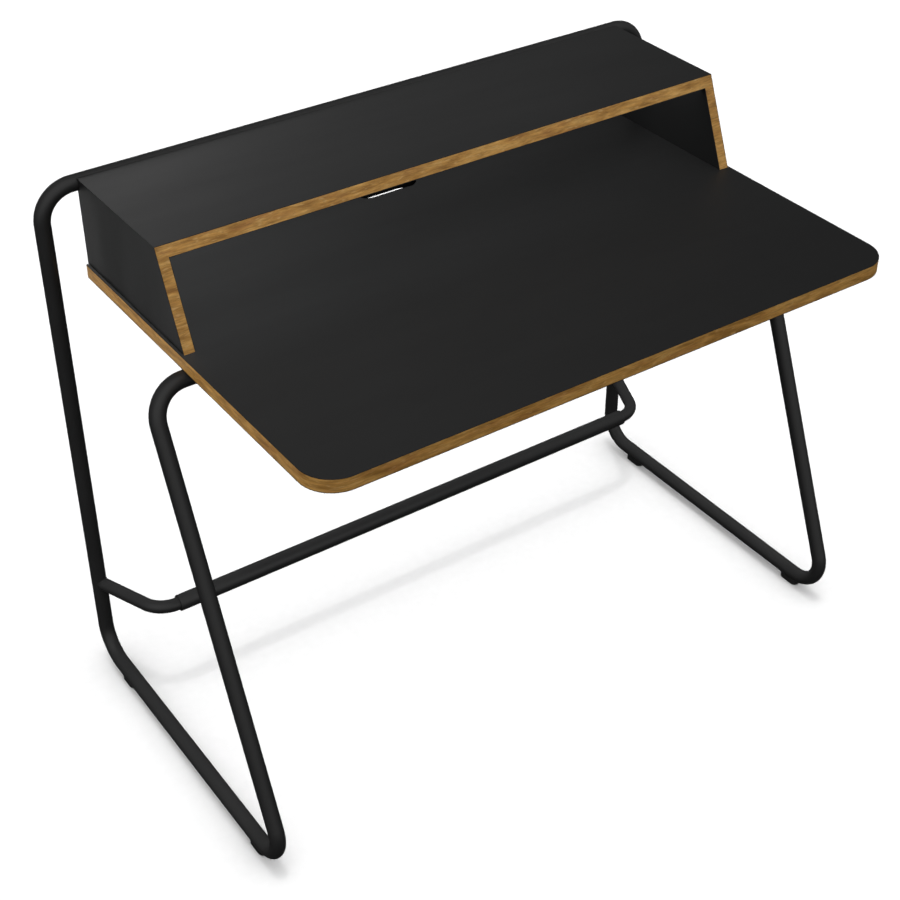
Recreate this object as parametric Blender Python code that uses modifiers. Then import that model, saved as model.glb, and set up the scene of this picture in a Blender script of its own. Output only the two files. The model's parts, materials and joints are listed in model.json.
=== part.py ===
"""Writing desk: a laminate-faced oak top and shelf box on a closed bent-tube frame.

Metres, +Z up. X runs along the desk's width, +Y points to the rear. The origin is on the floor,
under the centre of the desk. Neighbouring pieces keep a gap of 0.3 mm.
"""
import math

import bmesh
import bpy
from mathutils import Matrix, Vector

GAP = 0.0003                    # clearance between pieces that touch
LEAN = math.radians(22.9)       # one angle: front legs, box front and stretcher arms share it

# desktop
DESK_WIDTH = 1.000
DESK_DEPTH = 0.666
DESK_FRONT_Y = -0.343
DESK_REAR_Y = DESK_FRONT_Y + DESK_DEPTH
DESK_TOP_Z = 0.760
DESK_THICKNESS = 0.022
DESK_UNDER_Z = DESK_TOP_Z - DESK_THICKNESS
CORNER_RADIUS = 0.052
LAMINATE = 0.0008
SKIN = LAMINATE + GAP           # depth at which a board's core starts

# cable slot with its liner
SLOT_Y = 0.279
SLOT_LENGTH = 0.106
SLOT_WIDTH = 0.0375
LINER_WALL = 0.0015

# shelf box
BOX_TOP_Z = 0.901
BOX_HALF_WIDTH = 0.4963
BOARD = 0.018
BOX_TOP_FRONT_Y = 0.078
BOX_BOTTOM_Z = DESK_TOP_Z + GAP
BOX_FOOT_FRONT_Y = BOX_TOP_FRONT_Y - (BOX_TOP_Z - DESK_TOP_Z) * math.tan(LEAN)
BACK_FRONT_Y = 0.303
BACK_THICKNESS = 0.008
SPLINE_WIDTH = 0.012
SPLINE_THICKNESS = 0.003
SPLINE_FRONT_Y = 0.120
SPLINE_REAR_Y = 0.294

# tube frame
TUBE_RADIUS = 0.0125
TUBE_WALL = 0.0015
BEND_RADIUS = 0.052
SIDE_X = 0.554                  # axis plane of each side loop
REAR_RAIL_Y = 0.3305
REAR_RAIL_Z = 0.891
GLIDE_DROP = 0.008              # how far the glides hold the skids off the floor
SKID_Z = GLIDE_DROP + TUBE_RADIUS
SKID_FRONT_Y = -0.2805
FRONT_RAIL_Z = DESK_UNDER_Z - GAP - TUBE_RADIUS
FRONT_RAIL_Y = SKID_FRONT_Y + (FRONT_RAIL_Z - SKID_Z) * math.tan(LEAN)
SPIGOT_RADIUS = 0.0105
SPIGOT_LENGTH = 0.120
TUBE_BEVEL_RESOLUTION = 6       # 16 sides
BEND_STEPS = 7

# stretcher
STRETCHER_Y = 0.2065
STRETCHER_Z = 0.164
ARM_RADIUS = 0.011
ARM_WALL = 0.0015
ARM_BEND_RADIUS = 0.048
ARM_CORNER_X = 0.5036           # where the arm's two straight axes would cross
ARM_INSERTION = 0.110
SLEEVE_RADIUS = 0.014
SLEEVE_WALL = 0.0025
SLEEVE_HALF_LENGTH = 0.470

# glides
GLIDE_LENGTH = 0.040
GLIDE_WIDTH = 0.019
GLIDE_HEIGHT = 0.0115
GLIDE_FRONT_Y = -0.193
GLIDE_REAR_Y = 0.247
PEG_RADIUS = 0.0035
PEG_TOP_Z = 0.014

# fasteners
BOLT_XS = (-0.400, -0.160, 0.160, 0.400)
BOLT_RADIUS = 0.003
BOLT_TIP_Z = 0.7507
BOLT_HEAD_RADIUS = 0.00525
BOLT_HEAD_HEIGHT = 0.0032
SOCKET_RADIUS = 0.0023
SOCKET_DEPTH = 0.002
INSERT_RADIUS = 0.005
INSERT_LENGTH = 0.012
RAIL_SCREW_RADIUS = 0.0025
RAIL_SCREW_HEAD_RADIUS = 0.0045
RAIL_SCREW_HEAD_HEIGHT = 0.003
RAIL_SCREW_SEAT_Y = 0.3208      # plane under the head, inside the rear rail
RAIL_SCREW_LENGTH = 0.045
ACCESS_HOLE_RADIUS = 0.005
BOX_SCREW_YS = (0.075, 0.265)
BOX_SCREW_X = BOX_HALF_WIDTH - BOARD / 2
BOX_SCREW_RADIUS = 0.003
BOX_SCREW_HEAD_RADIUS = 0.005
BOX_SCREW_HEAD_HEIGHT = 0.003
BOX_SCREW_TIP_Z = 0.795
GRUB_X = 0.440
GRUB_RADIUS = 0.0025
GRUB_LENGTH = 0.003
SCREW_POINT_RADIUS = 0.001
SCREW_POINT_LENGTH = 0.005

# facets and cutters
SMOOTH_ANGLE = math.radians(35)
HOLE_SIDES = 12
COVE_SIDES = 32                 # cutters that follow a tube's outside
SPIGOT_SIDES = 16
CORNER_STEPS = 8                # steps of a quarter or half round in an outline
DRILL_REACH = 0.030             # how far a cutter starts outside a tube's axis
OVERSHOOT = 0.010               # how far a cutter runs past a board's face

SIDES = (("left", -1), ("right", 1))

# colour, roughness, metallic
FINISHES = {
    "tube_black": ((0.012, 0.012, 0.012), 0.45, 0.0),
    "laminate_black": ((0.018, 0.018, 0.018), 0.5, 0.0),
    "oak": ((0.36, 0.20, 0.075), 0.55, 0.0),
    "plastic_black": ((0.010, 0.010, 0.010), 0.6, 0.0),
    "zinc": ((0.55, 0.55, 0.56), 0.35, 1.0),
    "plywood": ((0.60, 0.42, 0.24), 0.7, 0.0),
}


# ---------------------------------------------------------------- scene and helpers

def clear_scene():
    for obj in list(bpy.data.objects):
        bpy.data.objects.remove(obj, do_unlink=True)


def new_collection(name):
    collection = bpy.data.collections.new(name)
    bpy.context.scene.collection.children.link(collection)
    return collection


def make_material(name, finish):
    colour, roughness, metallic = FINISHES[finish]
    material = bpy.data.materials.new(name)
    material.use_nodes = True
    material.diffuse_color = (*colour, 1.0)
    shader = material.node_tree.nodes["Principled BSDF"]
    shader.inputs["Base Color"].default_value = (*colour, 1.0)
    shader.inputs["Roughness"].default_value = roughness
    shader.inputs["Metallic"].default_value = metallic
    return material


clear_scene()
PARTS = new_collection("writing_desk")
CUTTERS = new_collection("cutters")
ORIGIN = bpy.data.objects.new("desk_origin", None)
PARTS.objects.link(ORIGIN)


def add_part(name, mesh, finish, matrix=None):
    """Put a mesh in the parts collection as one named piece with its own material."""
    obj = bpy.data.objects.new(name, mesh)
    obj.matrix_world = matrix if matrix is not None else Matrix.Identity(4)
    obj.parent = ORIGIN
    mesh.materials.clear()
    mesh.materials.append(make_material(name, finish))
    PARTS.objects.link(obj)
    return obj


def add_cutter(name, mesh, matrix=None):
    obj = bpy.data.objects.new(name, mesh)
    obj.matrix_world = matrix if matrix is not None else Matrix.Identity(4)
    obj.hide_render = True
    obj.display_type = 'WIRE'
    CUTTERS.objects.link(obj)
    return obj


def boolean(obj, tool, operation='DIFFERENCE'):
    modifier = obj.modifiers.new(operation.lower() + "_" + tool.name, 'BOOLEAN')
    modifier.operation = operation
    modifier.solver = 'EXACT'
    modifier.object = tool


def smooth(mesh):
    mesh.shade_smooth()
    mesh.set_sharp_from_angle(angle=SMOOTH_ANGLE)


def curve_to_mesh(curve, name):
    """Evaluate a curve to a welded mesh and remove the curve."""
    holder = bpy.data.objects.new(name + "_curve", curve)
    bpy.context.scene.collection.objects.link(holder)
    graph = bpy.context.evaluated_depsgraph_get()
    mesh = bpy.data.meshes.new_from_object(holder.evaluated_get(graph))
    mesh.name = name
    bpy.data.objects.remove(holder, do_unlink=True)
    bpy.data.curves.remove(curve)
    work = bmesh.new()
    work.from_mesh(mesh)
    bmesh.ops.remove_doubles(work, verts=work.verts, dist=0.000001)
    bmesh.ops.recalc_face_normals(work, faces=work.faces)
    work.to_mesh(mesh)
    work.free()
    return mesh


def outline_mesh(name, outlines, thickness):
    """A flat piece: closed outlines in local XY (inner ones are holes), thickness along local Z."""
    curve = bpy.data.curves.new(name, 'CURVE')
    curve.dimensions = '2D'
    curve.fill_mode = 'BOTH'
    curve.extrude = thickness / 2
    for points in outlines:
        spline = curve.splines.new('POLY')
        spline.points.add(len(points) - 1)
        for point, (x, y) in zip(spline.points, points):
            point.co = (x, y, 0.0, 1.0)
        spline.use_cyclic_u = True
    return curve_to_mesh(curve, name)


def box_mesh(name, low, high):
    mesh = bpy.data.meshes.new(name)
    work = bmesh.new()
    size = Vector(high) - Vector(low)
    middle = (Vector(high) + Vector(low)) / 2
    place = Matrix.Translation(middle) @ Matrix.Diagonal((*size, 1.0))
    bmesh.ops.create_cube(work, size=1.0, matrix=place)
    work.to_mesh(mesh)
    work.free()
    return mesh


def cylinder_mesh(name, start, end, radius, sides):
    start, end = Vector(start), Vector(end)
    mesh = bpy.data.meshes.new(name)
    work = bmesh.new()
    turn = (end - start).to_track_quat('Z', 'Y').to_matrix().to_4x4()
    place = Matrix.Translation((start + end) / 2) @ turn
    bmesh.ops.create_cone(work, cap_ends=True, segments=sides, radius1=radius, radius2=radius,
                          depth=(end - start).length, matrix=place)
    work.to_mesh(mesh)
    work.free()
    smooth(mesh)
    return mesh


def drill(obj, name, start, end, radius, sides=HOLE_SIDES):
    boolean(obj, add_cutter(name, cylinder_mesh(name, start, end, radius, sides)))


def turned(name, profile, finish, place, closed=False):
    """A turned piece: (radius, height) points, top to bottom at +X, round local Z."""
    mesh = bpy.data.meshes.new(name)
    work = bmesh.new()
    verts = [work.verts.new((radius, 0.0, height)) for radius, height in profile]
    pairs = list(zip(verts, verts[1:]))
    if closed:
        pairs.append((verts[-1], verts[0]))
    for first, second in pairs:
        work.edges.new((first, second))
    work.to_mesh(mesh)
    work.free()
    obj = add_part(name, mesh, finish, place)
    screw = obj.modifiers.new("turn", 'SCREW')
    screw.angle = math.tau
    screw.steps = HOLE_SIDES
    screw.render_steps = HOLE_SIDES
    screw.use_merge_vertices = True
    screw.merge_threshold = 0.00001
    screw.use_smooth_shade = True
    return obj


def arc(centre, radius, start, end, steps):
    """Points of a circular arc in a plane, angles in radians, both ends included."""
    cx, cy = centre
    turns = [start + (end - start) * i / steps for i in range(steps + 1)]
    return [(cx + radius * math.cos(a), cy + radius * math.sin(a)) for a in turns]


def stadium(centre, length, width):
    """A slot outline along X: two straight sides and two half-round ends."""
    cx, cy = centre
    reach = (length - width) / 2
    quarter = math.pi / 2
    right = arc((cx + reach, cy), width / 2, -quarter, quarter, CORNER_STEPS)
    left = arc((cx - reach, cy), width / 2, quarter, 3 * quarter, CORNER_STEPS)
    return right + left


def rounded_path(corners, radius, steps):
    """A path through corner points with a circular bend at each inner corner."""
    corners = [Vector(c) for c in corners]
    path = [corners[0]]
    for before, corner, after in zip(corners, corners[1:], corners[2:]):
        back = (before - corner).normalized()
        ahead = (after - corner).normalized()
        half = back.angle(ahead) / 2
        centre = corner + (back + ahead).normalized() * radius / math.sin(half)
        start = corner + back * radius / math.tan(half)
        spoke = start - centre
        axis = spoke.cross(-back).normalized()
        sweep = math.pi - 2 * half
        for i in range(steps + 1):
            path.append(centre + Matrix.Rotation(sweep * i / steps, 3, axis) @ spoke)
    path.append(corners[-1])
    return path


def tube_mesh(name, path, radius):
    curve = bpy.data.curves.new(name, 'CURVE')
    curve.dimensions = '3D'
    curve.bevel_depth = radius
    curve.bevel_resolution = TUBE_BEVEL_RESOLUTION
    curve.use_fill_caps = False
    curve.twist_mode = 'MINIMUM'
    spline = curve.splines.new('POLY')
    spline.points.add(len(path) - 1)
    for point, co in zip(spline.points, path):
        point.co = (*co, 1.0)
    mesh = curve_to_mesh(curve, name)
    smooth(mesh)
    return mesh


def hollow_tube(name, path, radius, wall):
    """An open-ended tube: the outer skin, thickened inward."""
    mesh = tube_mesh(name, path, radius)
    obj = add_part(name, mesh, "tube_black")
    solidify = obj.modifiers.new("wall", 'SOLIDIFY')
    solidify.thickness = wall
    solidify.offset = -1.0
    solidify.use_rim = True
    return obj


# ---------------------------------------------------------------- frame

def frame_corners(side):
    """Corner points of one frame half, from the rear rail's middle to the front rail's middle."""
    x = side * SIDE_X
    meet = side * GAP / 2
    return [
        (meet, REAR_RAIL_Y, REAR_RAIL_Z),
        (x, REAR_RAIL_Y, REAR_RAIL_Z),
        (x, REAR_RAIL_Y, SKID_Z),
        (x, SKID_FRONT_Y, SKID_Z),
        (x, FRONT_RAIL_Y, FRONT_RAIL_Z),
        (meet, FRONT_RAIL_Y, FRONT_RAIL_Z),
    ]


def make_frame_half(label, side):
    name = "frame_" + label
    path = rounded_path(frame_corners(side), BEND_RADIUS, BEND_STEPS)
    frame = hollow_tube(name, path, TUBE_RADIUS, TUBE_WALL)
    xs = [x for x in BOLT_XS if x * side > 0]
    for i, x in enumerate(xs, 1):
        low = (x, FRONT_RAIL_Y, FRONT_RAIL_Z - DRILL_REACH)
        high = (x, FRONT_RAIL_Y, FRONT_RAIL_Z + DRILL_REACH)
        drill(frame, f"{name}_bolt_hole_{i}", low, high, BOLT_RADIUS + GAP)
        front = (x, REAR_RAIL_Y - DRILL_REACH, REAR_RAIL_Z)
        middle = (x, REAR_RAIL_Y, REAR_RAIL_Z)
        rear = (x, REAR_RAIL_Y + DRILL_REACH, REAR_RAIL_Z)
        drill(frame, f"{name}_screw_hole_{i}", front, middle, RAIL_SCREW_RADIUS + GAP)
        drill(frame, f"{name}_access_hole_{i}", middle, rear, ACCESS_HOLE_RADIUS)
    for place, y in (("front", GLIDE_FRONT_Y), ("rear", GLIDE_REAR_Y)):
        low = (side * SIDE_X, y, 0.0)
        high = (side * SIDE_X, y, SKID_Z)
        drill(frame, f"{name}_peg_hole_{place}", low, high, PEG_RADIUS + GAP)
    return frame


def make_spigots():
    for place, y, z in (("rear", REAR_RAIL_Y, REAR_RAIL_Z), ("front", FRONT_RAIL_Y, FRONT_RAIL_Z)):
        name = f"rail_spigot_{place}"
        half = SPIGOT_LENGTH / 2
        mesh = cylinder_mesh(name, (-half, y, z), (half, y, z), SPIGOT_RADIUS, SPIGOT_SIDES)
        add_part(name, mesh, "zinc")


def make_stretcher_arm(label, side):
    name = "stretcher_arm_" + label
    corners = [
        (side * SIDE_X, REAR_RAIL_Y, STRETCHER_Z),
        (side * ARM_CORNER_X, STRETCHER_Y, STRETCHER_Z),
        (side * (SLEEVE_HALF_LENGTH - ARM_INSERTION), STRETCHER_Y, STRETCHER_Z),
    ]
    path = rounded_path(corners, ARM_BEND_RADIUS, BEND_STEPS)
    arm = hollow_tube(name, path, ARM_RADIUS, ARM_WALL)
    low = (side * SIDE_X, REAR_RAIL_Y, STRETCHER_Z - DRILL_REACH)
    high = (side * SIDE_X, REAR_RAIL_Y, STRETCHER_Z + DRILL_REACH)
    drill(arm, name + "_cope", low, high, TUBE_RADIUS + GAP, COVE_SIDES)
    return arm


def make_stretcher_sleeve():
    ends = [Vector((x, STRETCHER_Y, STRETCHER_Z)) for x in (-SLEEVE_HALF_LENGTH, SLEEVE_HALF_LENGTH)]
    sleeve = hollow_tube("stretcher_sleeve", ends, SLEEVE_RADIUS, SLEEVE_WALL)
    top = STRETCHER_Z - ARM_RADIUS - GAP
    for label, side in SIDES:
        x = side * GRUB_X
        low = (x, STRETCHER_Y, STRETCHER_Z - DRILL_REACH)
        drill(sleeve, f"grub_hole_{label}", low, (x, STRETCHER_Y, STRETCHER_Z), GRUB_RADIUS + GAP)
        name = f"sleeve_grub_screw_{label}"
        low = (x, STRETCHER_Y, top - GRUB_LENGTH)
        mesh = cylinder_mesh(name, low, (x, STRETCHER_Y, top), GRUB_RADIUS, HOLE_SIDES)
        add_part(name, mesh, "zinc")


def make_glide(name, x, y):
    """A saddle under the skid, hollowed to the tube and held by a peg in the tube's wall."""
    outline = stadium((0.0, 0.0), GLIDE_LENGTH, GLIDE_WIDTH)
    mesh = outline_mesh(name, [outline], GLIDE_HEIGHT)
    place = Matrix.Translation((x, y, GLIDE_HEIGHT / 2)) @ Matrix.Rotation(math.pi / 2, 4, 'Z')
    glide = add_part(name, mesh, "plastic_black", place)
    front = (x, y - GLIDE_LENGTH, SKID_Z)
    rear = (x, y + GLIDE_LENGTH, SKID_Z)
    drill(glide, name + "_seat", front, rear, TUBE_RADIUS + GAP, COVE_SIDES)
    peg_low = (x, y, GLIDE_DROP / 2)
    peg = cylinder_mesh(name + "_peg", peg_low, (x, y, PEG_TOP_Z), PEG_RADIUS, HOLE_SIDES)
    boolean(glide, add_cutter(name + "_peg", peg), 'UNION')


# ---------------------------------------------------------------- desktop

def desk_outline():
    """Desktop outline in plan: round front corners, square rear corners."""
    half = DESK_WIDTH / 2
    inner = half - CORNER_RADIUS
    cy = DESK_FRONT_Y + CORNER_RADIUS
    quarter = math.pi / 2
    left = arc((-inner, cy), CORNER_RADIUS, 2 * quarter, 3 * quarter, CORNER_STEPS)
    right = arc((inner, cy), CORNER_RADIUS, 3 * quarter, 4 * quarter, CORNER_STEPS)
    return left + right + [(half, DESK_REAR_Y), (-half, DESK_REAR_Y)]


def desk_layer(name, low, high, finish):
    cut = LINER_WALL + GAP
    slot = stadium((0.0, SLOT_Y), SLOT_LENGTH + 2 * cut, SLOT_WIDTH + 2 * cut)
    mesh = outline_mesh(name, [desk_outline(), slot], high - low)
    return add_part(name, mesh, finish, Matrix.Translation((0.0, 0.0, (low + high) / 2)))


def make_desktop():
    core_low, core_high = DESK_UNDER_Z + SKIN, DESK_TOP_Z - SKIN
    core = desk_layer("desktop_core", core_low, core_high, "oak")
    upper = desk_layer("desktop_laminate_upper", DESK_TOP_Z - LAMINATE, DESK_TOP_Z, "laminate_black")
    lower = desk_layer("desktop_laminate_lower", DESK_UNDER_Z, DESK_UNDER_Z + LAMINATE,
                       "laminate_black")

    wall = 2 * LINER_WALL
    outer = stadium((0.0, SLOT_Y), SLOT_LENGTH + wall, SLOT_WIDTH + wall)
    inner = stadium((0.0, SLOT_Y), SLOT_LENGTH, SLOT_WIDTH)
    mesh = outline_mesh("slot_liner", [outer, inner], DESK_THICKNESS)
    middle = Matrix.Translation((0.0, 0.0, DESK_TOP_Z - DESK_THICKNESS / 2))
    add_part("slot_liner", mesh, "plastic_black", middle)

    for i, x in enumerate(BOLT_XS, 1):
        low = (x, FRONT_RAIL_Y, DESK_UNDER_Z - OVERSHOOT)
        seat = (x, FRONT_RAIL_Y, core_low + INSERT_LENGTH + GAP)
        drill(core, f"insert_hole_{i}", low, seat, INSERT_RADIUS + GAP)
        drill(lower, f"bolt_hole_{i}", low, seat, BOLT_RADIUS + GAP)

    for label, side in SIDES:
        for i, y in enumerate(BOX_SCREW_YS, 1):
            x = side * BOX_SCREW_X
            low = (x, y, DESK_UNDER_Z - OVERSHOOT)
            seat = (x, y, DESK_UNDER_Z + 2 * GAP + BOX_SCREW_HEAD_HEIGHT)
            high = (x, y, DESK_TOP_Z + OVERSHOOT)
            tag = f"{label}_{i}"
            drill(core, "head_recess_" + tag, low, seat, BOX_SCREW_HEAD_RADIUS + GAP)
            drill(lower, "head_hole_" + tag, low, seat, BOX_SCREW_HEAD_RADIUS + GAP)
            drill(core, "core_hole_" + tag, low, high, BOX_SCREW_RADIUS + GAP)
            drill(upper, "upper_hole_" + tag, low, high, BOX_SCREW_RADIUS + GAP)


# ---------------------------------------------------------------- shelf box

# a box board is drawn in the XZ plane and runs along Y
ALONG_Y = Matrix.Rotation(math.pi / 2, 4, 'X')
MITRE_GAP = GAP / 2 * math.sqrt(2)
LAYERS = (
    ("laminate_outer", 0.0, LAMINATE, "laminate_black"),
    ("core", SKIN, BOARD - SKIN, "oak"),
    ("laminate_inner", BOARD - LAMINATE, BOARD, "laminate_black"),
)


def top_outline(outer, inner):
    """Cross-section of one layer of the box top, between two depths from the outer surface."""
    upper, lower = BOX_TOP_Z - outer, BOX_TOP_Z - inner
    wide = BOX_HALF_WIDTH - outer - MITRE_GAP
    narrow = BOX_HALF_WIDTH - inner - MITRE_GAP
    return [(-wide, upper), (-narrow, lower), (narrow, lower), (wide, upper)]


def side_outline(side, outer, inner):
    """Cross-section of one layer of a box side."""
    return [
        (side * (BOX_HALF_WIDTH - outer), BOX_BOTTOM_Z),
        (side * (BOX_HALF_WIDTH - outer), BOX_TOP_Z - outer - MITRE_GAP),
        (side * (BOX_HALF_WIDTH - inner), BOX_TOP_Z - inner - MITRE_GAP),
        (side * (BOX_HALF_WIDTH - inner), BOX_BOTTOM_Z),
    ]


def front_wedge():
    """The space in front of the box's leaning front plane."""
    slope = math.tan(LEAN)
    low_z, high_z = DESK_TOP_Z - OVERSHOOT, BOX_TOP_Z + OVERSHOOT
    far_y = BOX_FOOT_FRONT_Y - 10 * OVERSHOOT
    outline = [
        (BOX_FOOT_FRONT_Y - OVERSHOOT * slope, low_z), (BOX_TOP_FRONT_Y + OVERSHOOT * slope, high_z),
        (far_y, high_z), (far_y, low_z),
    ]
    mesh = outline_mesh("front_wedge", [outline], 2 * DESK_WIDTH)
    # local X is the desk's Y, local Y is its Z, and the extrusion runs along its X
    turn = Matrix(((0, 0, 1, 0), (1, 0, 0, 0), (0, 1, 0, 0), (0, 0, 0, 1)))
    return add_cutter("front_wedge", mesh, turn)


def make_back_panel():
    """The back, set between the boards just ahead of the rear rail."""
    reach = BOX_HALF_WIDTH - BOARD - GAP
    low = (-reach, BACK_FRONT_Y, BOX_BOTTOM_Z)
    high = (reach, BACK_FRONT_Y + BACK_THICKNESS, BOX_TOP_Z - BOARD - GAP)
    add_part("box_back_panel", box_mesh("box_back_panel", low, high), "laminate_black")


def spline_mesh(name, side, clearance):
    """A strip across the mitre, at right angles to it."""
    half_width = SPLINE_WIDTH / 2 + clearance
    half_thickness = SPLINE_THICKNESS / 2 + clearance
    low = (-half_width, SPLINE_FRONT_Y - clearance, -half_thickness)
    high = (half_width, SPLINE_REAR_Y + clearance, half_thickness)
    mesh = box_mesh(name, low, high)
    middle = Vector((side * (BOX_HALF_WIDTH - BOARD / 2), 0.0, BOX_TOP_Z - BOARD / 2))
    turn = Matrix.Rotation(side * math.pi / 4, 4, 'Y')
    mesh.transform(Matrix.Translation(middle) @ turn)
    return mesh


def make_box_board(label, outline_of, cutters):
    """The three layers of one board, run past the front plane and cut back to it."""
    front = BOX_FOOT_FRONT_Y - 2 * OVERSHOOT
    middle = (front + DESK_REAR_Y) / 2
    layers = {}
    for layer, outer, inner, finish in LAYERS:
        name = f"box_{label}_{layer}"
        mesh = outline_mesh(name, [outline_of(outer, inner)], DESK_REAR_Y - front)
        obj = add_part(name, mesh, finish, Matrix.Translation((0.0, middle, 0.0)) @ ALONG_Y)
        for cutter in cutters:
            boolean(obj, cutter)
        layers[layer] = obj
    return layers


def make_box():
    wedge = front_wedge()
    rail_start = (-DESK_WIDTH, REAR_RAIL_Y, REAR_RAIL_Z)
    rail_end = (DESK_WIDTH, REAR_RAIL_Y, REAR_RAIL_Z)
    cove_mesh = cylinder_mesh("rail_cove", rail_start, rail_end, TUBE_RADIUS + GAP, COVE_SIDES)
    cove = add_cutter("rail_cove", cove_mesh)
    shared = (wedge, cove)

    top = make_box_board("top", top_outline, shared)
    for i, x in enumerate(BOLT_XS, 1):
        tip = (x, RAIL_SCREW_SEAT_Y - RAIL_SCREW_LENGTH - GAP, REAR_RAIL_Z)
        rear = (x, REAR_RAIL_Y, REAR_RAIL_Z)
        drill(top["core"], f"rail_screw_pilot_{i}", tip, rear, RAIL_SCREW_RADIUS + GAP)

    for label, side in SIDES:
        board = make_box_board(label, lambda a, b, s=side: side_outline(s, a, b), shared)
        slot = add_cutter("spline_slot_" + label, spline_mesh("spline_slot_" + label, side, GAP))
        boolean(top["core"], slot)
        boolean(board["core"], slot)
        name = "mitre_spline_" + label
        add_part(name, spline_mesh(name, side, 0.0), "plywood")
        for i, y in enumerate(BOX_SCREW_YS, 1):
            low = (side * BOX_SCREW_X, y, DESK_TOP_Z - OVERSHOOT)
            tip = (side * BOX_SCREW_X, y, BOX_SCREW_TIP_Z + GAP)
            drill(board["core"], f"box_screw_pilot_{label}_{i}", low, tip, BOX_SCREW_RADIUS + GAP)
    make_back_panel()


# ---------------------------------------------------------------- fasteners

def make_front_rail_bolts():
    """Button-head bolts up through the front rail into threaded inserts."""
    seat = FRONT_RAIL_Z - TUBE_RADIUS - GAP
    shank = BOLT_TIP_Z - seat
    dome = BOLT_HEAD_RADIUS * 0.72      # where the rounded head turns flat
    profile = [
        (0.0, shank), (BOLT_RADIUS, shank), (BOLT_RADIUS, 0.0), (BOLT_HEAD_RADIUS, 0.0),
        (BOLT_HEAD_RADIUS, -BOLT_HEAD_HEIGHT / 3), (dome, -BOLT_HEAD_HEIGHT), (0.0, -BOLT_HEAD_HEIGHT),
    ]
    hole = BOLT_RADIUS + GAP
    ring = [
        (INSERT_RADIUS, INSERT_LENGTH), (INSERT_RADIUS, 0.0), (hole, 0.0), (hole, INSERT_LENGTH),
    ]
    for i, x in enumerate(BOLT_XS, 1):
        bolt = turned(f"front_rail_bolt_{i}", profile, "zinc", Matrix.Translation((x, FRONT_RAIL_Y, seat)))
        low = (x, FRONT_RAIL_Y, seat - BOLT_HEAD_HEIGHT - OVERSHOOT)
        floor = (x, FRONT_RAIL_Y, seat - BOLT_HEAD_HEIGHT + SOCKET_DEPTH)
        drill(bolt, f"bolt_socket_{i}", low, floor, SOCKET_RADIUS, 6)
        insert_low = DESK_UNDER_Z + SKIN
        turned(f"desk_insert_{i}", ring, "zinc", Matrix.Translation((x, FRONT_RAIL_Y, insert_low)),
               closed=True)


def make_rear_rail_screws():
    """Pan-head screws inside the rear rail, driven forward into the box top's rear edge."""
    head = RAIL_SCREW_HEAD_RADIUS
    top = -RAIL_SCREW_HEAD_HEIGHT
    profile = [
        (0.0, RAIL_SCREW_LENGTH), (SCREW_POINT_RADIUS, RAIL_SCREW_LENGTH),
        (RAIL_SCREW_RADIUS, RAIL_SCREW_LENGTH - SCREW_POINT_LENGTH), (RAIL_SCREW_RADIUS, 0.0),
        (head, 0.0), (head, top * 0.5), (head * 0.6, top), (0.0, top),
    ]
    forward = Matrix.Rotation(math.pi / 2, 4, 'X')
    for i, x in enumerate(BOLT_XS, 1):
        place = Matrix.Translation((x, RAIL_SCREW_SEAT_Y, REAR_RAIL_Z)) @ forward
        turned(f"rear_rail_screw_{i}", profile, "zinc", place)


def make_box_screws():
    """Screws from below through the desktop into the box sides."""
    head = BOX_SCREW_HEAD_RADIUS
    low = DESK_UNDER_Z + GAP
    seat = BOX_SCREW_HEAD_HEIGHT
    tip = BOX_SCREW_TIP_Z - low
    profile = [
        (0.0, tip), (SCREW_POINT_RADIUS, tip), (BOX_SCREW_RADIUS, tip - SCREW_POINT_LENGTH),
        (BOX_SCREW_RADIUS, seat), (head, seat), (head, 0.0), (0.0, 0.0),
    ]
    for label, side in SIDES:
        for i, y in enumerate(BOX_SCREW_YS, 1):
            place = Matrix.Translation((side * BOX_SCREW_X, y, low))
            turned(f"box_screw_{label}_{i}", profile, "zinc", place)


for side_label, side_sign in SIDES:
    make_frame_half(side_label, side_sign)
    make_stretcher_arm(side_label, side_sign)
    make_glide("glide_front_" + side_label, side_sign * SIDE_X, GLIDE_FRONT_Y)
    make_glide("glide_rear_" + side_label, side_sign * SIDE_X, GLIDE_REAR_Y)
make_spigots()
make_stretcher_sleeve()
make_desktop()
make_box()
make_front_rail_bolts()
make_rear_rail_screws()
make_box_screws()
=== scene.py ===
"""Looks for the writing desk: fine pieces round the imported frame, procedural materials, studio.

Metres, +Z up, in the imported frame: X along the width, +Y to the rear, the floor at z = 0.
"""
import json
import math

import bmesh
import bpy
from mathutils import Matrix, Vector

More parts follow.
